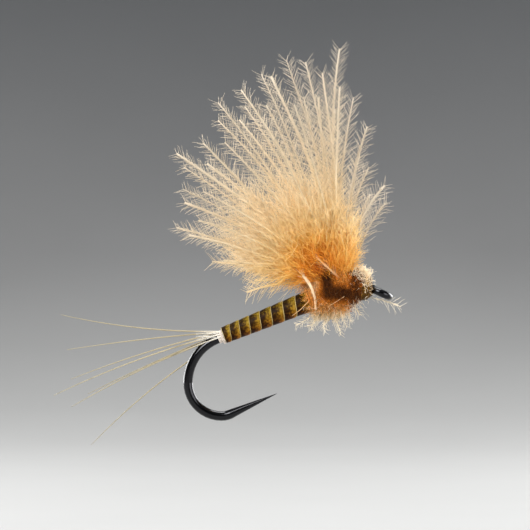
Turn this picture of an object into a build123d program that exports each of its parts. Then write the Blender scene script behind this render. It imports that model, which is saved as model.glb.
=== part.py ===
from build123d import *

import math
import os

# A tied dry fly: a barbless down-eye hook with a wound quill body, a flared tail, a dubbed thorax and a wing
# of long soft down barbs, all bound on with one thread.
#
# Frame, in millimetres: the origin is the centre of the hook's eye, X runs forward past the eye, Z is up, and
# the hook lies in the plane Y = 0 with its shank raised towards the eye. Station t runs backwards along the
# hook's centreline from where the crank by the eye meets the straight shank, so t is negative on the crank.
# A heading is in degrees above +X in the hook's plane.

# Hook wire
WIRE_R = 0.27
EYE_WIRE_R = 0.21
EYE_RING_R = 0.50
EYE_BORE_R = 0.31
EYE_CLOSING_GAP = 40.0
EYE_HEADING = 155.5
CRANK_R = 2.20
SHANK_HEADING = 202.0
SHANK_LENGTH = 7.60
BEND_BACK_R = 2.67
BEND_LOW_R = 1.89
BEND_FRONT_R = 1.26
SPEAR_HEADING = 384.0
SPEAR_LENGTH = 2.85
POINT_R = 0.012

# Tying thread: the flat first layer, then round turns
THREAD_LAYER = 0.03
THREAD_R = 0.03
THREAD_BASE_FRONT_T = -1.48
TAIL_TURNS = 2
LOOP_FRONT_T = 0.05
LOOP_REAR_T = 1.72
LOOP_TURNS = 7
HEAD_THREAD_FRONT_T = -1.46
HEAD_THREAD_REAR_T = -1.20
HEAD_THREAD_TURNS = 4
WHIP_FRONT_T = -1.63
WHIP_REAR_T = -1.51
WHIP_TURNS = 2

# Quill body over a tapered thread underbody: each wrap is wider than the one behind it
QUILL_REAR_T = 7.20
QUILL_WRAPS = 8
QUILL_FIRST_WIDTH = 0.47
QUILL_WIDTH_STEP = 0.058
QUILL_REAR_R = 0.385
QUILL_FRONT_R = 0.545
QUILL_LIP = 0.030
UNDERBODY_REAR_T = 6.50
UNDERBODY_REAR_R = 0.375
UNDERBODY_FRONT_R = 0.49

# Tail: butts lie along the thread base, and the free lengths flare from the collar
TAIL_FIBRE_R = 0.03
TAIL_BUTT_LENGTH = 1.60
TAIL_FLARE = 0.30

# Thorax and head: (station, radius) from front to rear
HEAD = [(-1.50, 0.48), (-1.38, 0.60), (-1.20, 0.67), (-1.02, 0.70)]
THORAX = [(-1.02, 0.70), (-0.65, 0.88), (0.00, 1.04), (0.75, 1.10), (1.40, 0.90), (2.00, 0.62)]

# Wing barbs leave the thorax along a short line on its top
BARB_R = 0.04
BARB_BASE_SPREAD = 0.17
WING_ROOT_REAR = (-3.90, 0.45)
WING_ROOT_FRONT = (-1.36, 1.19)
WING_REAR_LEAN = 192.0
WING_FRONT_LEAN = 60.0

# Stripped feather stems, cut short, against the thorax: radius, then three points on each
STEM_R = 0.07
FEATHER_STEMS = [
    [(-4.43, -1.15, 1.02), (-3.84, -0.86, 0.07), (-3.72, -0.60, -0.87)],
    [(-3.68, -1.15, 2.05), (-3.02, -1.08, 1.46), (-2.35, -0.72, 0.85)],
]

# Each tail fibre: its butt's place round the shank in degrees, the (X, Z) of a point half way along its free
# length, the (X, Z) of its tip, and the sideways reach of its tip.
TAIL_FIBRES = [
    (92, (-13.50, -1.90), (-18.01, -1.20), -0.9),
    (62, (-13.14, -2.57), (-17.79, -3.25), 0.7),
    (118, (-12.78, -3.18), (-17.46, -4.80), -1.3),
    (36, (-12.78, -3.44), (-18.51, -5.81), 0.2),
    (146, (-13.28, -4.13), (-16.53, -5.67), -0.6),
    (10, (-13.28, -4.24), (-17.57, -6.53), 1.2),
    (200, (-13.50, -5.95), (-16.42, -8.66), 0.9),
]

# Each barb of a wing tuft: lean in degrees above +X, length, sideways reach of its tip, and bow.
WING_TUFTS = {
    "wing_tuft_1": [(71, 5.2, -0.7, -0.5), (66, 4.3, 0.8, -0.4), (76, 4.6, 1.5, -0.3)],
    "wing_tuft_2": [(85, 6.7, -1.3, -0.45), (80, 6.1, 0.4, -0.4), (83, 8.4, 1.6, -0.4),
                    (88, 10.0, -0.4, -0.5)],
    "wing_tuft_3": [
        (92, 10.6, -1.7, -0.35), (91.4, 12.8, 0.3, -0.55), (96, 11.5, -0.8, 0.10),
        (94, 9.4, 2.0, -0.3), (98, 10.2, 1.1, -0.2),
    ],
    "wing_tuft_4": [
        (100.4, 12.2, -1.2, 0.20), (104.4, 12.6, -0.2, 0.30), (102, 10.4, 1.9, 0.1),
        (105.5, 10.0, -2.1, 0.25), (108.7, 12.0, 0.9, 0.35),
    ],
    "wing_tuft_5": [
        (111.3, 12.2, -1.5, 0.30), (117.2, 11.9, -0.5, 0.40), (113, 10.6, 2.0, 0.2),
        (115.6, 9.9, -2.3, 0.3), (118.5, 11.0, 1.0, 0.35),
    ],
    "wing_tuft_6": [
        (124, 11.9, -1.0, 0.35), (126.4, 11.1, 0.5, 0.45), (121.4, 10.5, 1.9, 0.3),
        (128.3, 9.8, -2.1, 0.3), (133.4, 10.6, -0.3, 0.1),
    ],
    "wing_tuft_7": [
        (140.6, 11.2, -0.8, 0.40), (142.3, 10.4, 0.8, 0.3), (137, 9.6, 1.9, 0.3),
        (147.4, 9.6, -1.7, 0.35), (144, 8.6, -2.2, 0.3),
    ],
    "wing_tuft_8": [
        (150.9, 9.1, -0.7, 0.35), (159.6, 8.8, 0.2, 0.25), (155, 8.0, 1.7, 0.3),
        (160.8, 8.0, -1.4, 0.3), (153, 7.4, -2.0, 0.3),
    ],
    "wing_tuft_9": [
        (166.3, 5.5, -1.2, 0.2), (172, 4.2, 0.9, 0.2), (186.4, 3.8, -0.6, 0.25),
        (179, 3.9, -1.3, 0.25), (169, 6.2, 0.3, 0.2),
    ],
}

# Short barbs below the thorax and beside the eye: root (x, z), then lean, length, sideways reach and bow.
LOW_BARBS = {
    "beard_rear": [
        ((-3.55, -0.95), 215, 1.45, -0.3, -0.1), ((-3.25, -1.10), 238, 1.15, 0.4, 0.1),
        ((-3.00, -1.20), 262, 1.00, -0.6, 0.1), ((-3.30, -1.00), 228, 1.25, 0.8, -0.1),
    ],
    "beard_front": [
        ((-2.55, -1.00), 280, 1.40, -0.2, 0.1), ((-2.30, -0.95), 290, 1.10, 0.6, 0.1),
        ((-2.05, -0.80), 300, 0.90, -0.5, 0.1), ((-1.75, -0.60), 312, 0.85, 0.3, 0.1),
    ],
    "eye_wisp": [((-0.98, -0.17), 343.5, 2.15, -0.25, -0.05)],
}


def direction(heading):
    """Unit vector along a heading."""
    h = math.radians(heading)
    return Vector(math.cos(h), 0, math.sin(h))


def left_turn(start, heading, radius, turn):
    """An arc that leaves start along heading and turns left, with the point where it ends."""
    centre = start + direction(heading + 90) * radius
    middle = centre + direction(heading + turn / 2 - 90) * radius
    end = centre + direction(heading + turn - 90) * radius
    return Edge.make_three_point_arc(start, middle, end), end


# The hook's centreline, from the eye round to the spear
CRANK_START = direction(EYE_HEADING) * EYE_RING_R
crank, CRANK_END = left_turn(CRANK_START, EYE_HEADING, CRANK_R, SHANK_HEADING - EYE_HEADING)
BEND_START = CRANK_END + direction(SHANK_HEADING) * SHANK_LENGTH
shank = Edge.make_line(CRANK_END, BEND_START)
bend_back, BACK_END = left_turn(BEND_START, SHANK_HEADING, BEND_BACK_R, 270 - SHANK_HEADING)
bend_low, LOW_END = left_turn(BACK_END, 270, BEND_LOW_R, 90)
bend_front, SPEAR_START = left_turn(LOW_END, 360, BEND_FRONT_R, SPEAR_HEADING - 360)

CRANK_LENGTH = CRANK_R * math.radians(SHANK_HEADING - EYE_HEADING)
LAYER_R = WIRE_R + THREAD_LAYER
WOUND_R = LAYER_R + THREAD_R
BUTTS_R = LAYER_R + 2 * TAIL_FIBRE_R
BUTTS_FRONT_T = QUILL_REAR_T - TAIL_BUTT_LENGTH


def station(t):
    """The point on the hook's centreline at station t."""
    if t >= 0:
        return CRANK_END + direction(SHANK_HEADING) * t
    return crank @ (1 + t / CRANK_LENGTH)


def across(t):
    """The plane square to the hook's centreline at station t, facing backwards."""
    turned = min(t, 0) / CRANK_R
    return Plane(origin=station(t), x_dir=(0, 1, 0), z_dir=direction(SHANK_HEADING + math.degrees(turned)))


def tube(path, radius):
    """A round rod along an edge or a wire."""
    return sweep(Plane(origin=path @ 0, z_dir=path % 0) * Circle(radius), path=path)


def rod(t_front, t_rear, r_front, r_rear=None):
    """A cylinder, or a cone where the two radii differ, round the straight shank."""
    if r_rear is None:
        return across(t_front) * extrude(Circle(r_front), t_rear - t_front)
    made = Cone(r_front, r_rear, t_rear - t_front, align=(Align.CENTER, Align.CENTER, Align.MIN))
    return across(t_front) * made


def winding(t_front, t_rear, turns, radius, opening=0.0):
    """One strand of thread wound round the hook, whose coil opens rearwards by a half-angle."""
    length = t_rear - t_front
    helix = Helix(length / turns, length, radius, cone_angle=opening)
    middle = across((t_front + t_rear) / 2)
    return middle * Pos(0, 0, -length / 2) * tube(helix, THREAD_R)


def round_about(profile):
    """A smooth round body about the hook, through (station, radius) pairs."""
    return loft([across(t) * Circle(r) for t, r in profile])


def make_hook():
    wire = tube(Wire([crank, shank, bend_back, bend_low, bend_front]), WIRE_R)
    spear = Cone(WIRE_R, POINT_R, SPEAR_LENGTH, align=(Align.CENTER, Align.CENTER, Align.MIN))
    wire += Plane(origin=SPEAR_START, z_dir=direction(SPEAR_HEADING)) * spear
    eye = Plane(origin=(0, 0, 0), x_dir=direction(EYE_HEADING), z_dir=direction(EYE_HEADING - 90))
    wire += eye * Torus(EYE_RING_R, EYE_WIRE_R, major_angle=360 - EYE_CLOSING_GAP)
    return wire - eye * Cylinder(EYE_BORE_R, 4 * EYE_WIRE_R)


def make_thread_base():
    """The first flat layer of thread, from just behind the eye to the tail."""
    front = crank.trim(1 + THREAD_BASE_FRONT_T / CRANK_LENGTH, 1.0)
    rear = shank.trim(0.0, (QUILL_REAR_T + 0.35) / SHANK_LENGTH)
    path = Wire([front, rear])
    return tube(path, LAYER_R) - tube(Wire([crank, shank]), WIRE_R)


def quill_wraps():
    """(front, rear) stations of each quill wrap, from the tail forwards."""
    wraps, rear = [], QUILL_REAR_T
    for i in range(QUILL_WRAPS):
        front = rear - QUILL_FIRST_WIDTH - QUILL_WIDTH_STEP * i
        wraps.append((front, rear))
        rear = front
    return wraps


QUILL_FRONT_T = quill_wraps()[-1][0]


def quill_outside():
    """The solid outer shape of the quill: a cone stepped at the front edge of each wrap."""
    taper = (QUILL_FRONT_R - QUILL_REAR_R) / (QUILL_REAR_T - QUILL_FRONT_T)
    cones = []
    for front, rear in quill_wraps():
        r_rear = QUILL_REAR_R + taper * (QUILL_REAR_T - rear)
        cones.append(rod(front, rear, r_rear + QUILL_LIP, r_rear))
    return cones[0] + cones[1:]


def underbody_outside():
    return rod(QUILL_FRONT_T, UNDERBODY_REAR_T, UNDERBODY_FRONT_R, UNDERBODY_REAR_R)


def make_underbody():
    """Tapered thread wraps that give the quill its slope, over the tail's butts."""
    over_butts = rod(BUTTS_FRONT_T, UNDERBODY_REAR_T, BUTTS_R)
    return underbody_outside() - over_butts - rod(QUILL_FRONT_T, BUTTS_FRONT_T, LAYER_R)


def make_quill():
    return quill_outside() - underbody_outside() - rod(QUILL_FRONT_T, QUILL_REAR_T, BUTTS_R)


def make_tail_fibre(around, middle, tip, reach):
    """One fibre: its butt, a short turn where the thread flares it, and its free length."""
    side = math.radians(around)
    seat_r = LAYER_R + TAIL_FIBRE_R
    seat = direction(SHANK_HEADING - 90) * (seat_r * math.sin(side)) - Vector(0, seat_r * math.cos(side), 0)
    back = direction(SHANK_HEADING)
    butt = Edge.make_line(station(BUTTS_FRONT_T) + seat, station(QUILL_REAR_T) + seat)
    collar = butt @ 1
    half_way = Vector(middle[0], (collar.Y + reach) / 2, middle[1])
    end = Vector(tip[0], reach, tip[1])
    flared = Edge.make_three_point_arc(collar, half_way, end) % 0
    flare_end = collar + (back + flared).normalized() * TAIL_FLARE
    flare = Edge.make_tangent_arc(collar, back, flare_end)
    free = Edge.make_tangent_arc(flare_end, flared, end)
    return tube(Wire([butt, flare, free]), TAIL_FIBRE_R)


def make_barb(root, lean, length, reach, bow):
    """A bowed barb: its tip lies length away along its lean; a positive bow lifts its middle to the left."""
    start = Vector(root[0], reach * BARB_BASE_SPREAD, root[1])
    tip = start + direction(lean) * length + Vector(0, reach * (1 - BARB_BASE_SPREAD), 0)
    middle = (start + tip) / 2 + direction(lean - 90) * bow
    return tube(Edge.make_three_point_arc(start, middle, tip), BARB_R)


def wing_root(lean):
    """Where a wing barb leaves the thorax: barbs that lean further back leave it further back."""
    share = (WING_REAR_LEAN - lean) / (WING_REAR_LEAN - WING_FRONT_LEAN)
    return [rear + (front - rear) * share for rear, front in zip(WING_ROOT_REAR, WING_ROOT_FRONT)]


def make_thorax():
    """Dubbing round the shank and its loop thread, butted over the front of the quill."""
    return round_about(THORAX) - tube(Wire([crank, shank]), WOUND_R + THREAD_R) - quill_outside()


def make_head():
    return round_about(HEAD) - tube(Wire([crank, shank]), LAYER_R)


def main():
    tail_turn_span = TAIL_TURNS * 2.2 * THREAD_R
    tail_thread_t = QUILL_REAR_T + THREAD_R
    head_thread_r = HEAD[1][1] + THREAD_R
    nodes = {
        "hook": make_hook(),
        "thread_base": make_thread_base(),
        "tapered_underbody": make_underbody(),
        "quill_body": make_quill(),
        "tail_collar_thread": winding(tail_thread_t, tail_thread_t + tail_turn_span, TAIL_TURNS,
                                      BUTTS_R + THREAD_R),
        "dubbing_loop_thread": winding(LOOP_FRONT_T, LOOP_REAR_T, LOOP_TURNS, WOUND_R),
        "thorax_dubbing": make_thorax(),
        "head_dubbing": make_head(),
        "head_thread": winding(HEAD_THREAD_FRONT_T, HEAD_THREAD_REAR_T, HEAD_THREAD_TURNS, head_thread_r, 25),
        "whip_finish": winding(WHIP_FRONT_T, WHIP_REAR_T, WHIP_TURNS, WIRE_R + THREAD_R),
    }
    for i, fibre in enumerate(TAIL_FIBRES, 1):
        nodes[f"tail_fibre_{i}"] = make_tail_fibre(*fibre)
    for name, barbs in WING_TUFTS.items():
        nodes[name] = Compound(children=[make_barb(wing_root(barb[0]), *barb) for barb in barbs])
    for name, barbs in LOW_BARBS.items():
        nodes[name] = Compound(children=[make_barb(*barb) for barb in barbs])
    for i, points in enumerate(FEATHER_STEMS, 1):
        nodes[f"feather_stem_{i}"] = tube(Edge.make_three_point_arc(*[Vector(*p) for p in points]), STEM_R)

    os.makedirs("parts", exist_ok=True)
    for name, shape in nodes.items():
        export_step(shape, f"parts/{name}.step")


main()
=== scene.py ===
import math

import bpy
import numpy as np
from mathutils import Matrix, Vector


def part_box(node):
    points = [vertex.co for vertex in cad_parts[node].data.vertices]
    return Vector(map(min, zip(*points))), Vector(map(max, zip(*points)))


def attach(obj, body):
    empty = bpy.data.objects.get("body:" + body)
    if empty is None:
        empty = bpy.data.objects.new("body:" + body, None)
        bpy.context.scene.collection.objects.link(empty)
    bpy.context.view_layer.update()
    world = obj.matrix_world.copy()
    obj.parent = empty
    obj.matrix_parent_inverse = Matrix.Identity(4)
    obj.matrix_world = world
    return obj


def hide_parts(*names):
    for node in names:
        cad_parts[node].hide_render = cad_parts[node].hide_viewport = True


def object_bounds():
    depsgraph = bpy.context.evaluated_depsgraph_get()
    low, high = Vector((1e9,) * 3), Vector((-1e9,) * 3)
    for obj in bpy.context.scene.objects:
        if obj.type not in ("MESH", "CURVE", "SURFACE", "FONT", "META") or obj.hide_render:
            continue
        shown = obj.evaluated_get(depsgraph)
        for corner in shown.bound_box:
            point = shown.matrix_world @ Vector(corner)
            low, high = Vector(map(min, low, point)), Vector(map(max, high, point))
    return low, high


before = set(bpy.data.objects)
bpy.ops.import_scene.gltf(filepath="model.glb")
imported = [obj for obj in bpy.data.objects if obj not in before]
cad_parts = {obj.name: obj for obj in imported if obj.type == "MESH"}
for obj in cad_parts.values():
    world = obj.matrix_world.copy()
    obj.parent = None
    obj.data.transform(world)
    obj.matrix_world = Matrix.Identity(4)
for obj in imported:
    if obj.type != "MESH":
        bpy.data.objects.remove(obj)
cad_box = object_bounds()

# Looks for a tied dry fly. Lengths in this script are millimetres; MM turns them into Blender's metres. The
# CAD rods of the wing, tail and beard give each barb and fibre its place, and strands are grown along them.
MM = 0.001
BODY = "fly"
UP = np.array([0.0, 0.0, 1.0])
SIDE = np.array([0.0, 1.0, 0.0])

# Wing down: stems, their side filaments, the loose fluff at the root, and what falls over the quill
STEM_ROOT_R = 0.018
STEM_R = 0.058
STEM_TIP_R = 0.042
FILAMENT_BASE_R = 0.0125
FILAMENT_TIP_R = 0.0070
FILAMENT_LENGTH = 1.02
FILAMENT_SPACING = 0.112
FILAMENT_OPENING = 47.0
CLOSE_SPACING = 0.075
CLOSE_OPENING = 12.0
BARB_RINGS = 18
STEM_GIRTHS = (0.60, 0.80, 1.05, 1.40)
FLUFF_BANDS = 5
FLUFF_BAND_COUNT = 3600
FLUFF_FRONT = np.array([-1.85, 0, 1.1])
FLUFF_TO_REAR = np.array([-1.9, 0, -0.35])
FLUFF_LEAN = 80   # degrees above +X at the wing's front
FLUFF_FAN = 89    # degrees from there to the wing's rear
FLUFF_REACH = ([0, 0.25, 0.6, 0.85, 1], [1.9, 3.5, 4.7, 3.9, 2.9])   # from the front of the wing to its rear
REAR_FALL_COUNT = 110
WING_REACH = 13.0

# Tail: the fibres' radii, and the short fibres among their roots
TAIL_BUTT_R = 0.036
TAIL_R = 0.043
TAIL_THINNING = 0.72
TAIL_RINGS = 22
TAIL_ROOT_COUNT = 46

# Wound quill
QUILL_WRAPS = 8
QUILL_GROWTH = 1.50
QUILL_STRIP_STEPS = 64
QUILL_INNER_DEPTH = 0.055
QUILL_SINK = 0.02

# Fur of the thorax and head, and the frayed nap of the cut feather stems
FUR_COUNT = 10000
FUR_LAYERS = 3
HEAD_FUR_COUNT = 420
WOUND_COUNT = 1500
HEAD_WOUND_COUNT = 700
CURL_COUNT = 420
FRINGE_COUNT = 230
PUFF_COUNT = 1600
STEM_NAP_COUNT = 46
FUR_R = 0.013

# Studio, measured from the hook's eye
VIEW_MIDDLE = (-6.554, 0.0, 1.582)
VIEW_WIDTH = 29.94
VIEW_ELEVATION = 1.5
LENS_MM = 220.0
SENSOR_MM = 36.0
FLOOR_BELOW = 12.0
SWEEP_START = 150.0
SWEEP_RADIUS = 170.0
SWEEP_WALL = 160.0
SWEEP_RISE = 60.0   # the height over which the floor's colour fades
SWEEP_SIDES = 96
AMBIENT = (0.30, 0.31, 0.32, 1)


# ---------------------------------------------------------------- reading the frame

def node_mesh(node):
    """A CAD node's vertices in mm, and its triangles."""
    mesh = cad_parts[node].data
    co = np.empty(len(mesh.vertices) * 3)
    mesh.vertices.foreach_get("co", co)
    mesh.calc_loop_triangles()
    triangles = np.empty(len(mesh.loop_triangles) * 3, int)
    mesh.loop_triangles.foreach_get("vertices", triangles)
    return co.reshape(-1, 3) / MM, triangles.reshape(-1, 3)


def node_solids(node):
    """The vertices of each separate solid of a CAD node, in mm."""
    co, triangles = node_mesh(node)
    _, welded = np.unique(np.round(co, 4), axis=0, return_inverse=True)
    welded = welded.ravel()
    label = np.arange(welded.max() + 1)
    a, b = welded[triangles].ravel(), welded[triangles[:, [1, 2, 0]]].ravel()
    while True:
        lowest = np.minimum(label[a], label[b])
        before = label.copy()
        np.minimum.at(label, a, lowest)
        np.minimum.at(label, b, lowest)
        label = label[label]
        if (label == before).all():
            break
    solid = label[welded]
    return [co[solid == s] for s in np.unique(solid)]


def along_axis(points):
    """The middle of some points, their long direction, and each point's place along it."""
    middle = (points.max(0) + points.min(0)) / 2
    axis = np.linalg.svd(points - points.mean(0), full_matrices=False)[2][0]
    return middle, axis, (points - middle) @ axis


def rod_curve(points, root):
    """The centreline of a slim bowed rod, as a function of 0 at its end by root to 1 at its tip."""
    _, _, s = along_axis(points)
    s = (s - s.min()) / np.ptp(s)
    fit = np.polyfit(s, points, 2)
    ends = np.vander([0.0, 1.0], 3) @ fit
    if np.linalg.norm(ends[0] - root) > np.linalg.norm(ends[1] - root):
        fit = np.polyfit(1 - s, points, 2)
    return lambda at: np.vander(np.atleast_1d(at), 3) @ fit


def surface_points(node, count, rng):
    """Random points on the outside of a CAD node that surrounds the hook, with their outward normals."""
    co, triangles = node_mesh(node)
    a, b, c = co[triangles[:, 0]], co[triangles[:, 1]], co[triangles[:, 2]]
    normal = np.cross(b - a, c - a)
    area = np.linalg.norm(normal, axis=1) + 1e-12
    normal = normal / area[:, None]
    middle, axis, _ = along_axis(co)
    out = (a + b + c) / 3 - middle
    out -= (out @ axis)[:, None] * axis
    area = np.where((normal * out).sum(1) > 0.1 * np.linalg.norm(out, axis=1), area, 0.0)
    pick = rng.choice(len(area), count, p=area / area.sum())
    u, v = rng.random((2, count))
    u, v = np.where(u + v > 1, 1 - u, u), np.where(u + v > 1, 1 - v, v)
    at = a[pick] + (b - a)[pick] * u[:, None] + (c - a)[pick] * v[:, None]
    return at, normal[pick]


def unit(v):
    return v / np.maximum(np.linalg.norm(v, axis=-1, keepdims=True), 1e-9)


def heading(degrees):
    """Unit vectors in the hook's plane, in degrees above +X."""
    h = np.radians(np.asarray(degrees, float))
    return np.stack([np.cos(h), np.zeros_like(h), np.sin(h)], -1)


# ---------------------------------------------------------------- strands

class Strands:
    """Gathers closed tapered rods and makes one mesh of them.

    The mesh's UV map holds what the materials colour by: u is the strand's place on the colour run, from 0
    to 1, and v is its own tint, from 0 to 1.
    """

    def __init__(self):
        self.co, self.corners, self.sizes, self.uv, self.count = [], [], [], [], 0

    def add(self, paths, radii, place, tint, sides=3, flat=1.0, rng=None):
        """paths is (strands, rings, 3) in mm; radii and place are (strands, rings); tint is (strands,).
        A flat under 1 squeezes the section across its width."""
        n, k = paths.shape[:2]
        radii = np.broadcast_to(radii, (n, k))
        place = np.broadcast_to(place, (n, k))
        tint = np.broadcast_to(tint, (n,))
        tangent = unit(np.gradient(paths, axis=1))
        chord = unit(paths[:, -1] - paths[:, 0])
        across = np.where(np.abs(chord[:, 1:2]) < 0.9, SIDE, UP)
        across = unit(np.cross(chord, across))
        if rng is not None:
            turn = rng.uniform(0, 2 * math.pi, (n, 1))
            across = np.cos(turn) * across + np.sin(turn) * np.cross(chord, across)
        u = unit(across[:, None] - (across[:, None] * tangent).sum(-1, keepdims=True) * tangent)
        v = np.cross(tangent, u) * flat
        angle = np.arange(sides) * 2 * math.pi / sides
        ring = np.cos(angle)[:, None] * u[:, :, None] + np.sin(angle)[:, None] * v[:, :, None]
        self.co.append((paths[:, :, None] + ring * radii[:, :, None, None]).reshape(-1, 3))

        first = self.count + np.arange(n)[:, None, None] * (k * sides)
        row = np.arange(k - 1)[None, :, None] * sides
        j = np.arange(sides)[None, None, :]
        after = (j + 1) % sides
        quads = np.stack([first + row + j, first + row + after, first + row + sides + after,
                          first + row + sides + j], -1)
        quad_place = np.stack([place[:, :-1], place[:, :-1], place[:, 1:], place[:, 1:]], -1)
        quad_place = np.repeat(quad_place[:, :, None], sides, 2)
        self._faces(quads.reshape(-1, 4), quad_place.reshape(-1, 4), np.repeat(tint, (k - 1) * sides))
        near = first[:, 0] + np.arange(sides)[::-1][None]
        far = first[:, 0] + (k - 1) * sides + np.arange(sides)[None]
        self._faces(near, np.repeat(place[:, :1], sides, 1), tint)
        self._faces(far, np.repeat(place[:, -1:], sides, 1), tint)
        self.count += n * k * sides

    def _faces(self, corners, place, tint):
        self.corners.append(corners.ravel())
        self.sizes.append(np.full(len(corners), corners.shape[1]))
        tints = np.repeat(tint[:, None], corners.shape[1], 1)
        self.uv.append(np.stack([place, tints], -1).reshape(-1, 2))

    def build(self, name, material, slot, *nodes):
        """Makes the piece. It rides on the fly and stands for the CAD nodes named."""
        corners, sizes = np.concatenate(self.corners), np.concatenate(self.sizes)
        return make_piece(name, np.concatenate(self.co), corners, sizes, np.concatenate(self.uv),
                          material, slot, *nodes)


def make_piece(name, co, corners, sizes, uv, material, slot, *nodes):
    mesh = bpy.data.meshes.new(name)
    mesh.vertices.add(len(co))
    mesh.vertices.foreach_set("co", (co * MM).astype(np.float32).ravel())
    mesh.loops.add(len(corners))
    mesh.loops.foreach_set("vertex_index", corners.astype(np.int32))
    mesh.polygons.add(len(sizes))
    mesh.polygons.foreach_set("loop_start", (np.cumsum(sizes) - sizes).astype(np.int32))
    mesh.polygons.foreach_set("loop_total", sizes.astype(np.int32))
    mesh.update(calc_edges=True)
    mesh.uv_layers.new(name=COLOUR_MAP).data.foreach_set("uv", np.clip(uv, 0, 1).astype(np.float32).ravel())
    mesh.polygons.foreach_set("use_smooth", np.ones(len(sizes), bool))
    mesh.materials.append(material)
    piece = bpy.data.objects.new(name, mesh)
    bpy.context.scene.collection.objects.link(piece)
    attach(piece, BODY)
    if nodes:
        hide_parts(*nodes)
    return piece


def bent(root, start_dir, end_dir, length, rings, wave=0.0, rng=None):
    """Paths in mm that leave root along start_dir and turn evenly to end_dir. wave is a share of length."""
    t = np.linspace(0, 1, rings)[None, :, None]
    length = np.broadcast_to(length, (len(root),))[:, None, None]
    paths = root[:, None] + length * (t * start_dir[:, None] + t * t / 2 * (end_dir - start_dir)[:, None])
    if rng is not None:
        swing = unit(rng.normal(size=(len(root), 3)))
        phase = rng.uniform(0, 2 * math.pi, (len(root), 1, 1))
        turns = rng.uniform(0.6, 1.6, (len(root), 1, 1))
        sway = np.sin(2 * math.pi * turns * t + phase) - np.sin(phase)
        paths = paths + wave * length * t ** 0.5 * sway * swing[:, None]
    return paths


def taper(base, tip, rings):
    return base + (tip - base) * np.linspace(0, 1, rings)[None, :]


# ---------------------------------------------------------------- materials

COLOUR_MAP = "OFBake"   # the one UV map of every strand piece, so that colour is stored by place and tint


class Look:
    """A Principled material, with short calls for the nodes that drive it."""

    def __init__(self, name, **sockets):
        self.mat = bpy.data.materials.new(name)
        self.mat.use_nodes = True
        self.tree = self.mat.node_tree
        self.shader = self.tree.nodes["Principled BSDF"]
        for socket, value in sockets.items():
            self.shader.inputs[socket.replace("_", " ")].default_value = value

    def node(self, kind, settings=None, **inputs):
        made = self.tree.nodes.new(kind)
        for key, value in (settings or {}).items():
            setattr(made, key, value)
        for key, value in inputs.items():
            self.feed(made.inputs[int(key[1:]) if key[0] == "_" else key.replace("_", " ")], value)
        return made

    def feed(self, socket, value):
        if isinstance(value, bpy.types.NodeSocket):
            self.tree.links.new(value, socket)
        else:
            socket.default_value = value

    def ramp(self, source, stops):
        made = self.node("ShaderNodeValToRGB", Fac=source)
        elements = made.color_ramp.elements
        for i, (at, colour) in enumerate(stops):
            element = elements[i] if i < 2 else elements.new(at)
            element.position = at
            element.color = (*colour, 1)
        return made.outputs["Color"]

    def position(self):
        return self.node("ShaderNodeTexCoord").outputs["Object"]

    def noise(self, scale, detail):
        made = self.node("ShaderNodeTexNoise", Scale=scale, Detail=detail, Vector=self.position())
        return made.outputs["Fac"]

    def sum(self, a, b):
        return self.node("ShaderNodeMath", {"operation": "ADD"}, _0=a, _1=b).outputs[0]

    def range(self, source, low, high, source_low=0.0, source_high=1.0):
        """Takes a source of source_low to source_high to low to high."""
        made = self.node("ShaderNodeMapRange", Value=source, From_Min=source_low, From_Max=source_high,
                         To_Min=low, To_Max=high)
        return made.outputs["Result"]

    def place_and_tint(self):
        uv = self.node("ShaderNodeUVMap", {"uv_map": COLOUR_MAP}).outputs["UV"]
        split = self.node("ShaderNodeSeparateXYZ", Vector=uv)
        return split.outputs["X"], split.outputs["Y"]

    def scaled(self, colour, by):
        """A colour, lighter or darker by a factor."""
        made = self.node("ShaderNodeVectorMath", {"operation": "SCALE"}, _0=colour, Scale=by)
        return made.outputs["Vector"]

    def filtered(self, a, b):
        """One colour seen through another."""
        made = self.node("ShaderNodeVectorMath", {"operation": "MULTIPLY"}, _0=a, _1=b)
        return made.outputs["Vector"]

    def height_of(self, vector):
        return self.node("ShaderNodeSeparateXYZ", Vector=vector).outputs["Z"]

    def mixed(self, share, a, b):
        made = self.node("ShaderNodeMix", {"data_type": "RGBA"})
        self.feed(made.inputs["Factor"], share)
        self.feed(made.inputs["A"], a)
        self.feed(made.inputs["B"], b)
        return made.outputs["Result"]

    def colour(self, value):
        self.feed(self.shader.inputs["Base Color"], value)

    def bump(self, height, distance_mm):
        made = self.node("ShaderNodeBump", Height=height, Distance=distance_mm * MM, Strength=1.0)
        self.feed(self.shader.inputs["Normal"], made.outputs["Normal"])


def strand_look(name, stops, spread=(0.72, 1.12), roughness=0.55, sheen=0.04):
    """Strands coloured along a run of colours, each strand with its own lightness."""
    look = Look(name, Roughness=roughness, Sheen_Weight=sheen, Specular_IOR_Level=0.18)
    place, tint = look.place_and_tint()
    look.colour(look.scaled(look.ramp(place, stops), look.range(tint, *spread)))
    return look.mat


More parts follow.
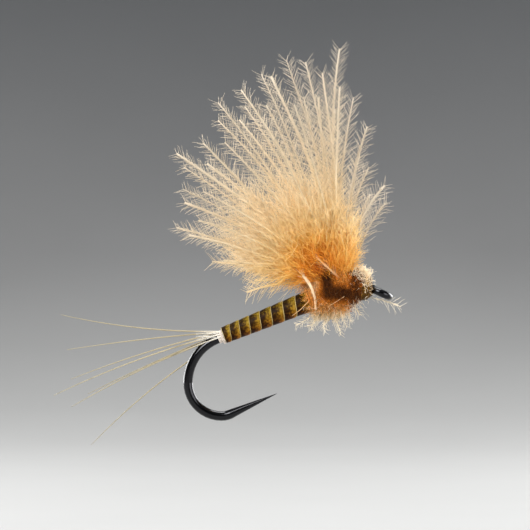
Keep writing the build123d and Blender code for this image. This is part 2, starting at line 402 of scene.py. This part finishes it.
WING_RUN = [
    (0.00, (0.28, 0.036, 0.002)), (0.05, (0.54, 0.10, 0.005)), (0.10, (0.98, 0.37, 0.025)),
    (0.16, (1.00, 0.57, 0.12)), (0.24, (1.00, 0.73, 0.34)), (0.34, (0.90, 0.70, 0.42)),
    (0.50, (0.74, 0.60, 0.41)), (0.70, (0.68, 0.57, 0.42)), (1.00, (0.66, 0.57, 0.45)),
]
FUR_RUN = [
    (0.00, (0.070, 0.019, 0.002)), (0.18, (0.13, 0.036, 0.004)), (0.38, (0.42, 0.115, 0.009)),
    (0.58, (0.68, 0.23, 0.022)), (0.80, (0.82, 0.40, 0.10)), (1.00, (0.86, 0.66, 0.38)),
]
HEAD_RUN = [(0.0, (0.070, 0.026, 0.003)), (0.55, (0.15, 0.068, 0.008)), (0.8, (0.42, 0.20, 0.02)),
            (1.0, (0.72, 0.38, 0.05))]
LOW_RUN = [(0.0, (0.82, 0.40, 0.10)), (0.10, (0.93, 0.66, 0.37)), (0.20, (0.94, 0.81, 0.60)),
           (1.0, (0.86, 0.80, 0.67))]
# The tail's run starts pale at the bundled bases. That pale is partly their own whitish colour and partly a
# painted silvery sheen.
TAIL_RUN = [(0.0, (0.80, 0.77, 0.71)), (0.22, (0.40, 0.335, 0.21)), (1.0, (0.36, 0.31, 0.185))]
STEM_RUN = [(0.0, (0.80, 0.42, 0.16)), (0.5, (0.88, 0.60, 0.34)), (1.0, (0.90, 0.72, 0.48))]

wing_look = strand_look("wing_down", WING_RUN, spread=(0.62, 1.12))
fur_look = strand_look("fur", FUR_RUN, spread=(0.5, 1.5), roughness=0.6, sheen=0.0)
head_fur_look = strand_look("head_fur", HEAD_RUN, spread=(0.6, 1.4), roughness=0.5, sheen=0.0)
low_look = strand_look("low_down", LOW_RUN)
tail_look = strand_look("tail_fibre", TAIL_RUN, spread=(0.8, 1.15), roughness=0.38, sheen=0.0)
stem_look = strand_look("feather_stem", STEM_RUN, roughness=0.45)


def hook_look():
    look = Look("black_nickel", Base_Color=(0.010, 0.010, 0.012, 1), Metallic=1.0, Coat_Weight=0.35,
                Coat_Roughness=0.05, Coat_IOR=1.6)
    grain = look.noise(9000, 4.0)
    look.feed(look.shader.inputs["Roughness"], look.range(grain, 0.13, 0.27))
    look.bump(look.noise(26000, 2.0), 0.0012)
    return look.mat


def thread_look(name, colour, dark):
    """Twisted thread: fine darker flecks in its colour, and a fine bump."""
    look = Look(name, Roughness=0.5, Sheen_Weight=0.2, Coat_Weight=0.15)
    look.colour(look.ramp(look.noise(16000, 2.0), [(0.3, dark), (0.7, colour)]))
    look.bump(look.noise(42000, 2.0), 0.004)
    return look.mat


QUILL_EDGE_COLOUR = (0.55, 0.42, 0.18, 1)


def quill_look():
    """Stripped quill: a pale rear edge, a mottled dark band, then olive and gold to the front edge."""
    look = Look("quill", Specular_IOR_Level=0.06)
    place, _ = look.place_and_tint()
    mottle = look.noise(7500, 4.0)
    blotch = look.range(mottle, -0.38, 0.20, 0.32, 0.68)
    band = look.ramp(look.sum(place, blotch), [
        (0.00, (0.016, 0.006, 0.001)), (0.26, (0.028, 0.012, 0.001)), (0.44, (0.075, 0.037, 0.004)),
        (0.64, (0.17, 0.093, 0.009)), (0.86, (0.27, 0.165, 0.020)), (1.00, (0.34, 0.22, 0.04)),
    ])
    # Painted light: faces that look up are tinted greener, a painted reflection of the sky, and faces that
    # look down are darker and warmer, painted shade.
    facing_up = look.height_of(look.node("ShaderNodeNewGeometry").outputs["Normal"])
    painted_sky_and_shade = look.ramp(look.range(facing_up, 0.0, 1.0, -0.7, 0.8), [
        (0.0, (1.0, 0.62, 0.34)), (0.45, (1.0, 0.90, 0.6)), (1.0, (0.84, 0.95, 0.70))])
    edge = look.ramp(place, [(0.0, (1, 1, 1)), (0.035, (1, 1, 1)), (0.065, (0, 0, 0)), (1.0, (0, 0, 0))])
    look.colour(look.mixed(edge, look.filtered(band, painted_sky_and_shade), QUILL_EDGE_COLOUR))
    look.feed(look.shader.inputs["Roughness"], look.range(mottle, 0.40, 0.60))
    look.bump(look.noise(30000, 3.0), 0.005)
    return look.mat


def floor_look():
    """Pale at the bottom, and a quiet mid grey further up the sweep: painted shade that darkens the wall as
    it rises.
    """
    look = Look("pale_floor", Roughness=0.85)
    ground = cad_box[0][2] - FLOOR_BELOW * MM
    rise = look.range(look.height_of(look.position()), 0.0, 1.0, ground, ground + SWEEP_RISE * MM)
    painted_falloff = look.ramp(rise, [
        (0.0, (0.35, 0.35, 0.345)), (0.3, (0.24, 0.24, 0.24)), (1.0, (0.13, 0.135, 0.14))])
    look.colour(look.scaled(painted_falloff, look.range(look.noise(60, 2.0), 0.97, 1.03)))
    return look.mat


# ---------------------------------------------------------------- wing, beard and wisp

THORAX_MIDDLE = along_axis(node_mesh("thorax_dubbing")[0])[0]
WING_ROOT = THORAX_MIDDLE + np.array([0.30, 0.0, 0.75])
DEEPEST_ORANGE = THORAX_MIDDLE + np.array([-0.85, 0.0, 1.35])


def wing_place(points, paler=0.0):
    """The place on the wing's colour run: how far a point is from the deepest orange."""
    return np.linalg.norm(points - DEEPEST_ORANGE, axis=-1) / WING_REACH + paler


def swayed(curve, rng):
    """The curve with a slight uneven sway that is nothing at its root."""
    size, phase, turns = rng.uniform(0.03, 0.09), rng.uniform(0, 6.3), rng.uniform(0.5, 1.3)
    return lambda at: curve(at) + (size * (np.sin(2 * math.pi * turns * np.atleast_1d(at) + phase)
                                           - math.sin(phase)))[:, None] * np.array([0.8, 0.4, 0.3])


def dress_barb(strands, curve, rng, spacing=FILAMENT_SPACING, reach=FILAMENT_LENGTH, wide=1.0, paler=0.0):
    """A down barb: a flat blunt stem, filaments that stand off both its edges, and a nap that lies close."""
    curve = swayed(curve, rng)
    line = curve(np.linspace(0, 1, BARB_RINGS))
    length = np.linalg.norm(np.diff(line, axis=0), axis=1).sum()
    girth = wide * rng.choice(STEM_GIRTHS)
    radii = np.interp(np.linspace(0, 1, BARB_RINGS), [0, 0.2, 0.5, 1],
                      [STEM_ROOT_R, STEM_ROOT_R, STEM_R, STEM_TIP_R])
    radii = radii[None] * girth * rng.uniform(0.88, 1.1, BARB_RINGS)
    strands.add(line[None], radii, wing_place(line, paler)[None] + 0.04,
                np.array([rng.uniform(0.25, 0.65)]), sides=8, flat=0.6)

    comb = int(length / spacing)
    nap = int(2 * girth * length / CLOSE_SPACING)
    for edge, count, opening, spread, long, thick in ((-1.0, comb, FILAMENT_OPENING, 8, 1.0, 1.0),
                                                      (1.0, comb, FILAMENT_OPENING, 8, 1.0, 1.0),
                                                      (None, nap, CLOSE_OPENING, 7, 0.45, 1.1)):
        hand = np.where(rng.random(count) < 0.5, 1.0, -1.0)
        s = rng.uniform(0.04, 0.94, count)
        if edge is not None:
            hand = np.full(count, edge)
            s = (np.arange(count) + rng.uniform(0.1, 0.9, count)) / count
            s = 0.06 + 0.94 * s
        at = curve(s)
        ahead = unit(curve(np.minimum(s + 0.01, 1.01)) - curve(np.minimum(s, 1.0)))
        in_plane = unit(np.cross(ahead, SIDE))
        roll = np.radians(rng.normal(0, 26, count))
        out = (hand * np.cos(roll))[:, None] * in_plane + np.sin(roll)[:, None] * SIDE
        a = np.radians(rng.normal(opening, spread, count))[:, None]
        b = a * rng.normal(0.92, 0.16, count)[:, None]
        # Shorter near the root, and a little shorter again at the tip
        long_here = reach * long * rng.uniform(0.5, 1.12, count) * np.clip(0.5 + 1.2 * s, 0, 1.0)
        long_here *= np.clip(1.9 - 1.25 * s, 0, 1)
        begin = np.cos(a) * ahead + np.sin(a) * out
        end = np.cos(b) * ahead + np.sin(b) * out
        paths = bent(at, begin, end, long_here, 5, 0.02, rng)
        strands.add(paths, taper(FILAMENT_BASE_R * thick, FILAMENT_TIP_R, 5), wing_place(paths, paler),
                    rng.uniform(0.3, 1.0, count), rng=rng)


def make_tuft(node, seed, paler):
    rng = np.random.default_rng(seed)
    strands = Strands()
    for points in node_solids(node):
        dress_barb(strands, rod_curve(points, THORAX_MIDDLE), rng, paler=paler)
    strands.build(node + "_down", wing_look, "wing_down", node)


def make_fluff(band):
    """One band of the soft down that fills the wing's root: short wavy filaments at many angles."""
    rng = np.random.default_rng(40 + band)
    strands = Strands()
    rear = (band + rng.random(FLUFF_BAND_COUNT)) / FLUFF_BANDS
    lean = FLUFF_LEAN + FLUFF_FAN * rear
    out = np.interp(rear, *FLUFF_REACH) * 1.6 * rng.beta(1.15, 2.2, FLUFF_BAND_COUNT)
    root = FLUFF_FRONT + FLUFF_TO_REAR * rear[:, None] + heading(lean) * out[:, None]
    root += rng.normal(0, 1, root.shape) * np.array([0.15, 0.42, 0.15])
    root[:, 1] *= 1 + 0.28 * np.minimum(out, 4.5)
    aim = heading(lean + rng.normal(0, 30, FLUFF_BAND_COUNT))
    aim = unit(aim + SIDE * rng.normal(0, 0.4, FLUFF_BAND_COUNT)[:, None])
    end = unit(aim + rng.normal(0, 0.5, aim.shape))
    length = rng.uniform(0.5, 1.3, FLUFF_BAND_COUNT) * np.clip(0.75 + rear, 0, 1)
    paths = bent(root, aim, end, length, 7, 0.09, rng)
    place = wing_place(paths) + rng.normal(0, 0.012, (FLUFF_BAND_COUNT, 1))
    strands.add(paths, taper(0.0105, 0.0065, 7), place, rng.uniform(0.78, 1, FLUFF_BAND_COUNT), rng=rng)
    strands.build(f"wing_root_fluff_{band + 1}", wing_look, "wing_down")


def make_rear_fall():
    """Sparse pale filaments that fall from the wing's root over the front of the quill."""
    rng = np.random.default_rng(39)
    strands = Strands()
    count = REAR_FALL_COUNT
    root = WING_ROOT + np.array([-1.7, 0, 0.0])
    root = root + rng.normal(0, 1, (count, 3)) * np.array([0.55, 0.38, 0.16])
    aim = unit(heading(rng.uniform(166, 200, count)) + SIDE * rng.normal(0, 0.3, count)[:, None])
    end = unit(aim + rng.normal(0, 0.35, aim.shape) + np.array([0, 0, -0.5]))
    paths = bent(root, aim, end, rng.uniform(0.7, 2.3, count), 7, 0.07, rng)
    strands.add(paths, taper(0.0115, 0.007, 7), 0.45, rng.uniform(0.3, 1, count), rng=rng)
    strands.build("wing_rear_fall", wing_look, "wing_down")


PALE_FRONT = {1: 0.45, 2: 0.22}   # the foremost tufts are cream almost down to the thorax
for number in range(1, 10):
    make_tuft(f"wing_tuft_{number}", number, PALE_FRONT.get(number, 0.0))
for band in range(FLUFF_BANDS):
    make_fluff(band)
make_rear_fall()


def make_low_barbs(node, seed, wide, reach, spacing):
    rng = np.random.default_rng(seed)
    strands = Strands()
    for points in node_solids(node):
        dress_barb(strands, rod_curve(points, THORAX_MIDDLE), rng, spacing, reach, wide=wide)
    strands.build(node + "_down", low_look, "low_down", node)


make_low_barbs("beard_rear", 51, 0.42, 0.50, 0.12)
make_low_barbs("beard_front", 52, 0.35, 0.45, 0.13)
make_low_barbs("eye_wisp", 53, 0.42, 0.75, 0.20)


# ---------------------------------------------------------------- tail

def make_tail_roots(collar):
    """Short fibres that lie among the tail's roots, just behind the collar. Their pale grey is partly the
    roots' own whitish colour and partly a painted silvery highlight.
    """
    rng = np.random.default_rng(68)
    count = TAIL_ROOT_COUNT
    strands = Strands()
    root = collar + np.array([-0.10, 0, 0.10]) + rng.normal(0, 1, (count, 3)) * np.array([0.06, 0.16, 0.09])
    aim = unit(heading(rng.normal(190, 7, count)) + SIDE * rng.normal(0, 0.16, count)[:, None])
    end = unit(aim + rng.normal(0, 0.16, aim.shape))
    paths = bent(root, aim, end, rng.uniform(0.6, 1.45, count), 7, 0.02, rng)
    strands.add(paths, taper(0.019, 0.009, 7), 0.0, rng.uniform(0.4, 1, count), rng=rng)
    strands.build("tail_roots", tail_look, "tail_fibres")


def make_tail_fibre(node, seed, collar):
    """A stiff tapered fibre: its butt lies along the shank, and its free length leaves the collar."""
    rng = np.random.default_rng(seed)
    points, _ = node_mesh(node)
    butt = points[points[:, 0] > points[:, 0].max() - 0.08].mean(0)
    free = points[points[:, 0] < collar[0]]
    along = np.linspace(0, 1, TAIL_RINGS)
    line = np.concatenate([butt[None], rod_curve(free, butt)(along)])
    strands = Strands()
    # Place 0 at the butt takes the pale start of the tail's run, which is partly a painted silvery sheen.
    place = np.linspace(0, 1, len(line))[None]
    radii = np.concatenate([[TAIL_BUTT_R], TAIL_R * (1 - TAIL_THINNING * along ** 1.4)])
    strands.add(line[None], radii[None], place, np.array([rng.uniform(0.3, 0.9)]), sides=8)
    strands.build(node + "_tapered", tail_look, "tail_fibres", node)


collar = along_axis(node_mesh("tail_collar_thread")[0])[0]
for number in range(1, 8):
    make_tail_fibre(f"tail_fibre_{number}", 60 + number, collar)
make_tail_roots(collar)


# ---------------------------------------------------------------- quill

def make_quill():
    """One flat strip wound on the hook from the tail forwards, each turn a little wider than the last."""
    points, _ = node_mesh("quill_body")
    middle, axis, s = along_axis(points)
    if axis[0] < 0:
        axis, s = -axis, -s
    radius = np.linalg.norm(points - middle - s[:, None] * axis, axis=1)
    length = np.ptp(s)
    rear = middle + axis * s.min()
    r_rear = radius[s < s.min() + 0.1 * length].max()
    r_front = radius[s > s.max() - 0.1 * length].max()
    above = unit(UP - (UP @ axis) * axis)
    growth = (QUILL_GROWTH - 1) / (QUILL_WRAPS - 1)
    whole = QUILL_WRAPS + growth * QUILL_WRAPS * (QUILL_WRAPS - 1) / 2

    def reached(turn):
        """How far forward the strip has come after so many turns."""
        turn = np.clip(turn, 0, QUILL_WRAPS)
        return length * (turn + growth * turn * (turn - 1) / 2) / whole

    place = np.array([0, 0.02, 0.06, 0.14, 0.26, 0.40, 0.55, 0.70, 0.84, 0.94, 0.98, 1.0])
    crown = np.array([-0.030, -0.006, 0.004, 0.008, 0.012, 0.016,
                      0.020, 0.024, 0.026, 0.020, 0.006, -0.028])
    turn = np.linspace(-1, QUILL_WRAPS, (QUILL_WRAPS + 1) * QUILL_STRIP_STEPS + 1)
    x = reached(turn)[:, None] + (reached(turn + 1) - reached(turn))[:, None] * place
    r = r_rear - QUILL_SINK + (r_front - r_rear) * x / length
    x = np.concatenate([x, x[:, -1:], x[:, :1]], 1)
    r = np.concatenate([r + crown, r[:, -1:] - QUILL_INNER_DEPTH, r[:, :1] - QUILL_INNER_DEPTH], 1)
    u = np.concatenate([place, [1.0, 0.0]])
    angle = 2 * math.pi * turn[:, None]
    around = np.cos(angle)[..., None] * above + np.sin(angle)[..., None] * SIDE
    co = rear + x[..., None] * axis + r[..., None] * around
    rows, ring = x.shape
    i = np.arange(rows - 1)[:, None] * ring
    j = np.arange(ring)[None]
    after = (j + 1) % ring
    quads = np.stack([i + j, i + after, i + ring + after, i + ring + j], -1).reshape(-1, 4)
    next_u = np.roll(u, -1)
    across = np.broadcast_to(np.stack([u, next_u, next_u, u], -1), (rows - 1, ring, 4))
    along = np.broadcast_to((turn / QUILL_WRAPS)[:-1, None, None], (rows - 1, ring, 4))
    uv = np.stack([across, along], -1).reshape(-1, 2)
    make_piece("quill_strip", co.reshape(-1, 3), quads.ravel(), np.full(len(quads), 4), uv,
               quill_look(), "quill", "quill_body")


make_quill()


# ---------------------------------------------------------------- thorax and head

# Where the thorax's rear patch fades in, where its fur turns into the head's, and the head's own ends, as X
REAR_PATCH = [-3.55, -3.15]
HEAD_FADE = [-1.95, -1.65]
HEAD_REAR = -1.85
HEAD_FRONT = -0.78

# The dark streak of the thorax: down from its upper rear, then forward to the head, as (X, Z)
STREAK = THORAX_MIDDLE[[0, 2]] + np.array([[-0.50, 1.15], [-0.28, 0.00], [1.10, -0.08]])


def from_streak(points):
    """How far points are from the dark streak, seen from the side."""
    at = points[..., [0, 2]]
    nearest = np.full(at.shape[:-1], np.inf)
    for a, b in zip(STREAK[:-1], STREAK[1:]):
        share = np.clip((at - a) @ (b - a) / ((b - a) @ (b - a)), 0, 1)
        nearest = np.minimum(nearest, np.linalg.norm(at - a - share[..., None] * (b - a), axis=-1))
    return nearest


def fur_place(points):
    """The place on the fur's colour run: dark along the streak and beside the head, rust away from them,
    and paler at the bottom and in the patch at the upper rear."""
    below = np.interp(points[..., 2] - THORAX_MIDDLE[2], [-1.50, -1.05, -0.60], [0.50, 0.14, 0.0])
    behind = np.interp(points[..., 0], REAR_PATCH, [1.0, 0.0])
    behind *= np.interp(points[..., 2], [-0.1, 0.4], [0.0, 1.0])
    cap = 0.64 + below + 0.22 * behind
    place = 0.06 + 1.25 * (from_streak(points) - 0.18) + below + 0.35 * behind
    place = np.clip(place, 0, cap)
    ahead = np.interp(points[..., 0], HEAD_FADE, [0.0, 0.9]) * (1 - below)
    return place + (0.13 - place) * ahead


def matted(name, stops):
    """Matted fur: mottled along a run of colours, with a coarse bump."""
    look = Look(name, Roughness=0.85, Sheen_Weight=0.05, Specular_IOR_Level=0.15)
    look.colour(look.ramp(look.noise(5000, 5.0), stops))
    look.bump(look.noise(14000, 4.0), 0.05)
    return look.mat


def make_core(node, material):
    """The matted inside of a dubbed part: the CAD solid's own outside."""
    core = bpy.data.objects.new(node + "_matted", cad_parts[node].data.copy())
    bpy.context.scene.collection.objects.link(core)
    core.data.materials.clear()
    core.data.materials.append(material)
    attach(core, BODY)
    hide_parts(node)


make_core("thorax_dubbing", matted("matted_fur", [
    (0.3, (0.030, 0.008, 0.001)), (0.55, (0.15, 0.038, 0.005)), (0.75, (0.34, 0.10, 0.012))]))
make_core("head_dubbing", matted("matted_head", [
    (0.3, (0.035, 0.016, 0.002)), (0.55, (0.10, 0.045, 0.006)), (0.75, (0.24, 0.12, 0.015))]))


def curly(root, out, length, rng, rings=9, coil=0.075, turns=(0.5, 1.9), stray=0.75):
    """Short fibres that leave a surface and curl."""
    aim = unit(out + rng.normal(0, stray, out.shape))
    end = unit(aim + rng.normal(0, 0.9, out.shape))
    paths = bent(root, aim, end, length, rings)
    t = np.linspace(0, 1, rings)[None, :, None]
    side = unit(np.cross(aim, rng.normal(size=aim.shape)))
    other = np.cross(aim, side)
    turned = rng.uniform(*turns, (len(root), 1, 1)) * 2 * math.pi
    size = coil * rng.uniform(0.3, 1.2, (len(root), 1, 1))
    swirl = (np.cos(turned * t) - 1) * side[:, None] + np.sin(turned * t) * other[:, None]
    return paths + size * swirl


def box_middle(node):
    low, high = (np.array(corner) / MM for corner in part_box(node))
    return (low + high) / 2


def wound(node, behind, ahead, count, rng, lift, rings=10):
    """Fibres that lie round a dubbed part, across the shank, with their ends a little free."""
    middle = box_middle(node)
    axis = unit(box_middle(ahead) - box_middle(behind))
    points, _ = node_mesh(node)
    s = (points - middle) @ axis
    radius = np.linalg.norm(points - middle - s[:, None] * axis, axis=1)
    station = np.round(s, 1)
    stations = np.unique(station)
    widest = np.array([radius[station == at].max() for at in stations])
    t = np.linspace(0, 1, rings)
    x = rng.uniform(s.min() + 0.03, s.max() - 0.03, (count, 1)) + rng.normal(0, 0.07, (count, 1)) * t
    angle = rng.uniform(0, 2 * math.pi, (count, 1)) + rng.uniform(0.5, 2.2, (count, 1)) * t
    r = np.interp(x, stations, widest) + lift * rng.uniform(-0.1, 0.5, (count, 1))
    r = r + lift * rng.uniform(0, 1, (count, 1)) * t ** 4
    r = r + lift * rng.uniform(0, 0.6, (count, 1)) * (1 - t) ** 5
    above = unit(UP - (UP @ axis) * axis)
    around = np.cos(angle)[..., None] * above + np.sin(angle)[..., None] * SIDE
    return middle + x[..., None] * axis + r[..., None] * around


def make_fur():
    rng = np.random.default_rng(72)
    root, out = surface_points("thorax_dubbing", FUR_COUNT, rng)
    length = rng.uniform(0.2, 0.75, FUR_COUNT) * np.interp(root[:, 0], [-2.3, -1.6], [1.0, 0.45])
    paths = curly(root - 0.08 * out, out, length, rng)
    place = fur_place(paths) + rng.normal(0, 0.10, (FUR_COUNT, 1))
    tint = rng.uniform(0, 1, FUR_COUNT)
    for layer in range(FUR_LAYERS):
        part = slice(layer, None, FUR_LAYERS)
        strands = Strands()
        strands.add(paths[part], taper(FUR_R, 0.007, 9), place[part], tint[part], rng=rng)
        strands.build(f"thorax_fur_{layer + 1}", fur_look, "dubbing")

    strands = Strands()
    paths = wound("thorax_dubbing", "quill_body", "head_dubbing", WOUND_COUNT, rng, 0.16)
    place = fur_place(paths) + rng.normal(0, 0.08, (WOUND_COUNT, 1))
    strands.add(paths, taper(0.014, 0.008, 10), place, rng.uniform(0, 1, WOUND_COUNT), rng=rng)
    root, out = surface_points("thorax_dubbing", CURL_COUNT, rng)
    paths = curly(root + 0.05 * out, out, rng.uniform(0.12, 0.35, CURL_COUNT), rng, rings=18,
                  turns=(1.2, 2.4), stray=1.2)
    place = fur_place(paths) + rng.normal(0.10, 0.08, (CURL_COUNT, 1))
    strands.add(paths, taper(0.017, 0.012, 18), place, rng.uniform(0.3, 1, CURL_COUNT), rng=rng)
    strands.build("thorax_curls", fur_look, "dubbing")

    strands = Strands()
    root, out = surface_points("head_dubbing", HEAD_FUR_COUNT, rng)
    paths = curly(root - 0.05 * out, out, rng.uniform(0.08, 0.24, HEAD_FUR_COUNT), rng, coil=0.04)
    strands.add(paths, taper(0.011, 0.007, 9), rng.uniform(0.0, 0.9, (HEAD_FUR_COUNT, 1)),
                rng.uniform(0, 1, HEAD_FUR_COUNT), rng=rng)
    paths = wound("head_dubbing", "thorax_dubbing", "head_dubbing", HEAD_WOUND_COUNT, rng, 0.07)
    place = rng.beta(1.0, 1.6, (HEAD_WOUND_COUNT, 1))
    strands.add(paths, taper(0.017, 0.010, 10), place, rng.uniform(0, 1, HEAD_WOUND_COUNT), rng=rng)
    strands.build("head_fur", head_fur_look, "dubbing")


make_fur()


def make_puff():
    """Cream fluff that stands on top of the head, in front of the wing."""
    rng = np.random.default_rng(74)
    x = rng.uniform(HEAD_REAR, HEAD_FRONT, PUFF_COUNT)
    top = np.interp(x, [HEAD_REAR, -1.25, HEAD_FRONT], [1.08, 1.05, 0.75])
    angle = rng.normal(0, 0.75, PUFF_COUNT)
    out = np.stack([rng.normal(0.1, 0.25, PUFF_COUNT), np.sin(angle), np.cos(angle)], -1)
    root = np.stack([x, 0.45 * np.sin(angle), top - 0.5 + 0.45 * np.cos(angle)], -1)
    paths = curly(root, unit(out), rng.uniform(0.3, 0.85, PUFF_COUNT), rng, coil=0.07, stray=0.45)
    strands = Strands()
    tint = rng.uniform(0.75, 1, PUFF_COUNT)
    strands.add(paths, taper(0.013, 0.008, 9), np.linspace(0.08, 0.22, 9)[None], tint, rng=rng)
    strands.build("head_puff", low_look, "low_down")


make_puff()


def make_fringe():
    """Cream fluff below the thorax."""
    rng = np.random.default_rng(73)
    strands = Strands()
    root, out = surface_points("thorax_dubbing", 6 * FRINGE_COUNT, rng)
    low = np.flatnonzero(out[:, 2] < -0.45)[:FRINGE_COUNT]
    root, out = root[low], out[low]
    count = len(root)
    aim = unit(out + rng.normal(0, 0.45, out.shape) + np.array([-0.25, 0, -0.3]))
    end = unit(aim + rng.normal(0, 0.7, aim.shape))
    paths = bent(root, aim, end, rng.uniform(0.25, 1.25, count), 7, 0.10, rng)
    place = np.linspace(0.0, 0.30, 7)[None]
    strands.add(paths, taper(0.011, 0.006, 7), place, rng.uniform(0, 1, count), rng=rng)
    strands.build("thorax_fringe", low_look, "low_down")


make_fringe()


def make_feather_stem(node, seed, radii, place, proud):
    """A cut stem, flat in section, with a frayed nap. Its root stands proud of the CAD rod, towards -Y."""
    rng = np.random.default_rng(seed)
    rod = rod_curve(node_mesh(node)[0], THORAX_MIDDLE)
    curve = lambda at: rod(at) - proud * (1 - np.atleast_1d(at))[:, None] * SIDE
    along = np.linspace(0, 1, 14)
    strands = Strands()
    radii = np.interp(along, np.linspace(0, 1, len(radii)), radii) * rng.uniform(0.9, 1.1, len(along))
    strands.add(curve(along)[None], radii[None], np.linspace(*place, len(along))[None], np.array([0.75]),
                sides=10, flat=0.5)
    s = rng.uniform(0.1, 1.0, STEM_NAP_COUNT)
    ahead = unit(curve(s + 0.01) - curve(s))
    aim = unit(ahead + rng.normal(0, 0.30, ahead.shape))
    end = unit(aim + rng.normal(0, 0.4, ahead.shape))
    root = curve(s) + rng.normal(0, 0.04, ahead.shape)
    paths = bent(root, aim, end, rng.uniform(0.2, 0.6, STEM_NAP_COUNT), 6, 0.05, rng)
    strands.add(paths, taper(0.012, 0.007, 6), place[1], rng.uniform(0, 1, STEM_NAP_COUNT), rng=rng)
    strands.build(node + "_flat", stem_look, "feather_stem", node)


make_feather_stem("feather_stem_1", 81, (0.055, 0.060, 0.075, 0.100, 0.050), (0.45, 1.0), 0.40)
make_feather_stem("feather_stem_2", 82, (0.050, 0.055, 0.050, 0.035), (0.40, 0.15), 0.12)


# Each loose filament's start and end in mm, and its place on the colour run
WISPS = (
    ((-3.55, -0.75, 0.10), (-4.85, -0.72, -1.45), 0.25),
    ((-3.55, -0.75, 0.22), (-4.40, -0.70, -0.45), 0.10),
    ((-2.10, -1.25, -0.15), (-3.10, -1.22, -0.75), 0.35),
    ((-3.60, -0.95, 0.00), (-3.05, -1.18, -0.62), 0.10),
    ((-3.90, -0.70, 0.35), (-4.60, -0.62, -0.15), 0.05),
)


def make_wisps():
    """A few loose rusty filaments across the front of the quill and the lower thorax."""
    strands = Strands()
    rng = np.random.default_rng(83)
    for start, end, place in WISPS:
        start, end = np.array(start), np.array(end)
        aim = unit(end - start)
        leaving = unit(aim + rng.normal(0, 0.16, 3))
        arriving = unit(aim + rng.normal(0, 0.16, 3))
        paths = bent(start[None], leaving[None], arriving[None], np.linalg.norm(end - start), 10, 0.03, rng)
        strands.add(paths, taper(0.020, 0.011, 10), place, np.array([0.8]), sides=6)
    strands.build("loose_wisps", stem_look, "feather_stem")


make_wisps()


# ---------------------------------------------------------------- CAD nodes that keep their own shape

def finish_node(node, material):
    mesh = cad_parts[node].data
    mesh.materials.clear()
    mesh.materials.append(material)


pale_thread = thread_look("pale_thread", (0.86, 0.78, 0.68), (0.55, 0.44, 0.36))
amber_thread = thread_look("amber_thread", (0.80, 0.50, 0.12), (0.42, 0.20, 0.03))
finish_node("hook", hook_look())
for node in ("thread_base", "tapered_underbody", "tail_collar_thread", "dubbing_loop_thread"):
    finish_node(node, pale_thread)
for node in ("head_thread", "whip_finish"):
    finish_node(node, amber_thread)


# ---------------------------------------------------------------- studio

def add_light(name, place, size, power):
    """A square soft light that faces the fly. place is in mm from the middle of the view."""
    data = bpy.data.lights.new(name, "AREA")
    data.energy = power
    data.size = size * MM
    lamp = bpy.data.objects.new(name, data)
    lamp.location = view_middle + Vector(place) * MM
    lamp.visible_camera = False
    lamp.rotation_euler = (view_middle - lamp.location).to_track_quat("-Z", "Y").to_euler()
    bpy.context.scene.collection.objects.link(lamp)


view_middle = Vector(VIEW_MIDDLE) * MM
distance = VIEW_WIDTH * LENS_MM / SENSOR_MM * MM

camera_data = bpy.data.cameras.new("camera")
camera_data.lens = LENS_MM
camera_data.sensor_width = SENSOR_MM
camera_data.clip_start = 0.001
camera = bpy.data.objects.new("camera", camera_data)
tilt = math.radians(VIEW_ELEVATION)
camera.location = view_middle + Vector((0, -math.cos(tilt), math.sin(tilt))) * distance
camera.rotation_euler = (view_middle - camera.location).to_track_quat("-Z", "Y").to_euler()
bpy.context.scene.collection.objects.link(camera)
bpy.context.scene.camera = camera

add_light("key", (-90, -150, 130), 110, 0.54)
add_light("fill", (150, -110, 30), 120, 0.19)
add_light("top", (10, 60, 190), 120, 0.48)
add_light("left_rim", (-125, 95, 0), 130, 0.42)
add_light("right_rim", (125, 110, 20), 130, 0.36)


def make_sweep():
    """A round pale floor that curves up all round into a plain backdrop."""
    ground = cad_box[0][2] / MM - FLOOR_BELOW
    turn = np.linspace(0, math.pi / 2, 12)
    wall = SWEEP_START + SWEEP_RADIUS
    reach = np.concatenate([[1.0, 60.0, 110.0], SWEEP_START + SWEEP_RADIUS * np.sin(turn), [wall]])
    height = np.concatenate([[0, 0, 0], SWEEP_RADIUS * (1 - np.cos(turn)), [SWEEP_RADIUS + SWEEP_WALL]])
    around = np.linspace(0, 2 * math.pi, SWEEP_SIDES + 1)[:-1]
    co = [(x * math.cos(a) + VIEW_MIDDLE[0], x * math.sin(a), z + ground)
          for x, z in zip(reach, height) for a in around]
    n = len(around)
    faces = [(i * n + j, i * n + (j + 1) % n, (i + 1) * n + (j + 1) % n, (i + 1) * n + j)
             for i in range(len(reach) - 1) for j in range(n)] + [tuple(range(n))]
    mesh = bpy.data.meshes.new("floor")
    mesh.from_pydata([[c * MM for c in point] for point in co], [], faces)
    mesh.shade_smooth()
    mesh.materials.append(floor_look())
    sweep = bpy.data.objects.new("floor", mesh)
    bpy.context.scene.collection.objects.link(sweep)


make_sweep()

world = bpy.data.worlds.new("studio")
world.use_nodes = True
world.node_tree.nodes["Background"].inputs["Color"].default_value = AMBIENT
world.node_tree.nodes["Background"].inputs["Strength"].default_value = 1.0
bpy.context.scene.world = world
bpy.context.scene.view_settings.view_transform = "Standard"
